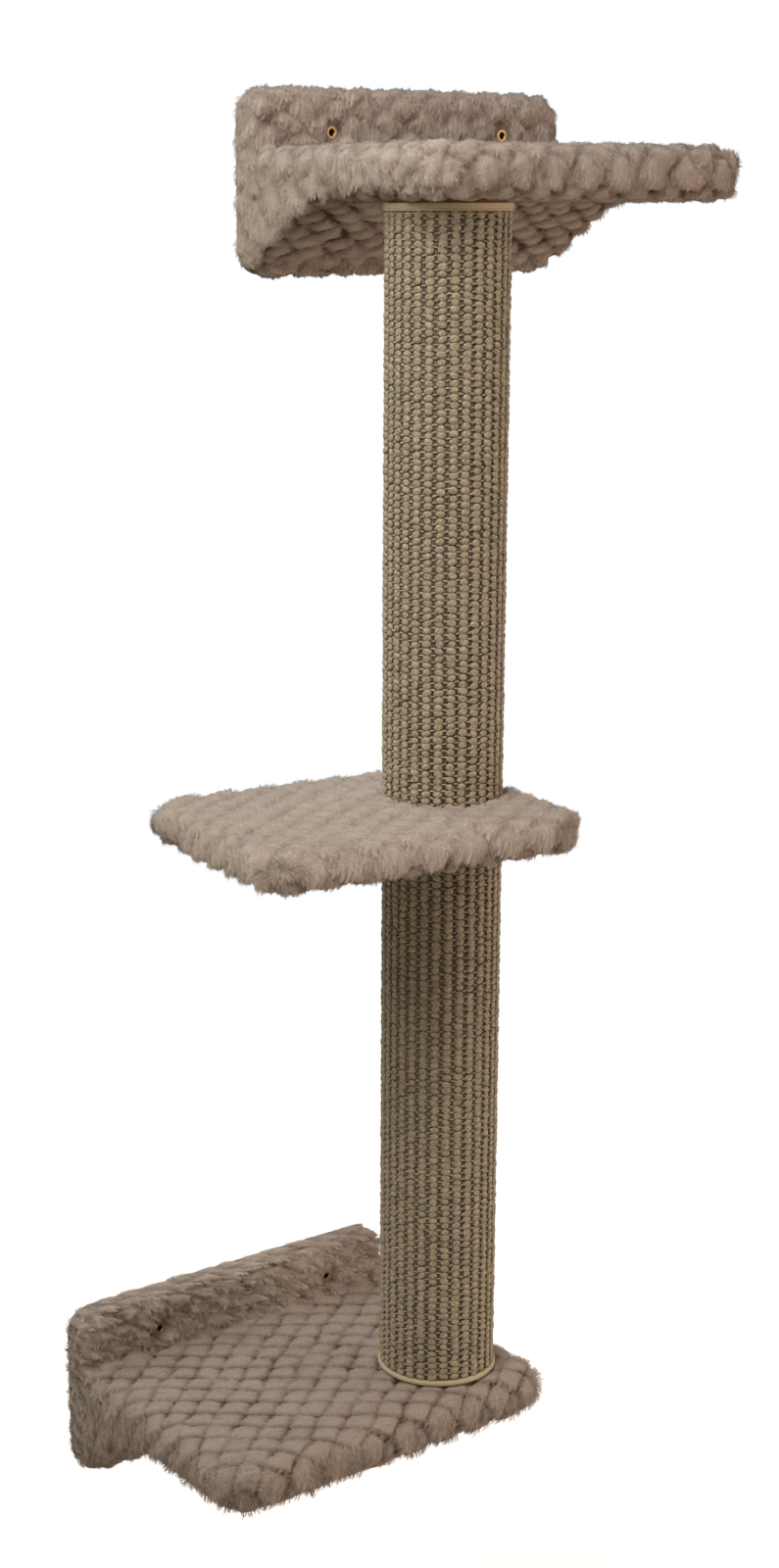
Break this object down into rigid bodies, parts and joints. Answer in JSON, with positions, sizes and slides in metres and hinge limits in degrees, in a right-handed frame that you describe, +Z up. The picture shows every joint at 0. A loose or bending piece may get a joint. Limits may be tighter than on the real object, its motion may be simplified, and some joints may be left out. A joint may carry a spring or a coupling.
{
  "type": "cat climbing wall",
  "caption": "Wall-hung cat climbing post: sisal-covered posts between two plush shelves on wall boards, with a plush lying platform between them.",
  "frame": {"origin": "middle of the lower unit's two wall holes, on the back face of its wall board", "axes": "+X to the right along the wall as seen from the room, +Y into the wall, +Z up"},
  "size_m": [0.62, 0.3868, 1.396],
  "materials": {
    "plush": "taupe long-pile plush with sculpted cells",
    "sisal": "natural woven sisal",
    "particle_board": "raw particle board",
    "plywood": "raw plywood",
    "card": "wound kraft card",
    "felt": "cream edge tape",
    "brass": "polished brass",
    "zinc_steel": "zinc plated"
  },
  "bodies": {
    "root": {"lower_wall_cover": "plush", "lower_shelf_cover": "plush", "lower_web_cover": "plush", "upper_wall_cover": "plush", "upper_shelf_cover": "plush", "upper_web_cover": "plush", "platform_cover": "plush", "lower_post_sisal_sleeve": "sisal", "upper_post_sisal_sleeve": "sisal", "lower_wall_board": "particle_board", "lower_shelf_board": "particle_board", "upper_wall_board": "particle_board", "upper_shelf_board": "particle_board", "platform_board": "particle_board", "lower_gusset_left": "plywood", "lower_gusset_right": "plywood", "upper_gusset_left": "plywood", "upper_gusset_right": "plywood", "lower_post_bottom_plug": "plywood", "lower_post_top_plug": "plywood", "upper_post_bottom_plug": "plywood", "upper_post_top_plug": "plywood", "lower_post_tube": "card", "upper_post_tube": "card", "lower_end_ring": "felt", "upper_end_band": "felt", "lower_wall_eyelets": "brass", "upper_wall_eyelets": "brass", "lower_shelf_screws": "zinc_steel", "lower_gusset_screws": "zinc_steel", "lower_post_bolt": "zinc_steel", "lower_bolt_washer": "zinc_steel", "upper_shelf_screws": "zinc_steel", "upper_gusset_screws": "zinc_steel", "upper_post_bolt": "zinc_steel", "upper_bolt_washer": "zinc_steel", "lower_post_bottom_insert": "zinc_steel", "lower_post_top_insert": "zinc_steel", "upper_post_bottom_insert": "zinc_steel", "upper_post_top_insert": "zinc_steel", "platform_stud": "zinc_steel"}
  },
  "joints": []
}
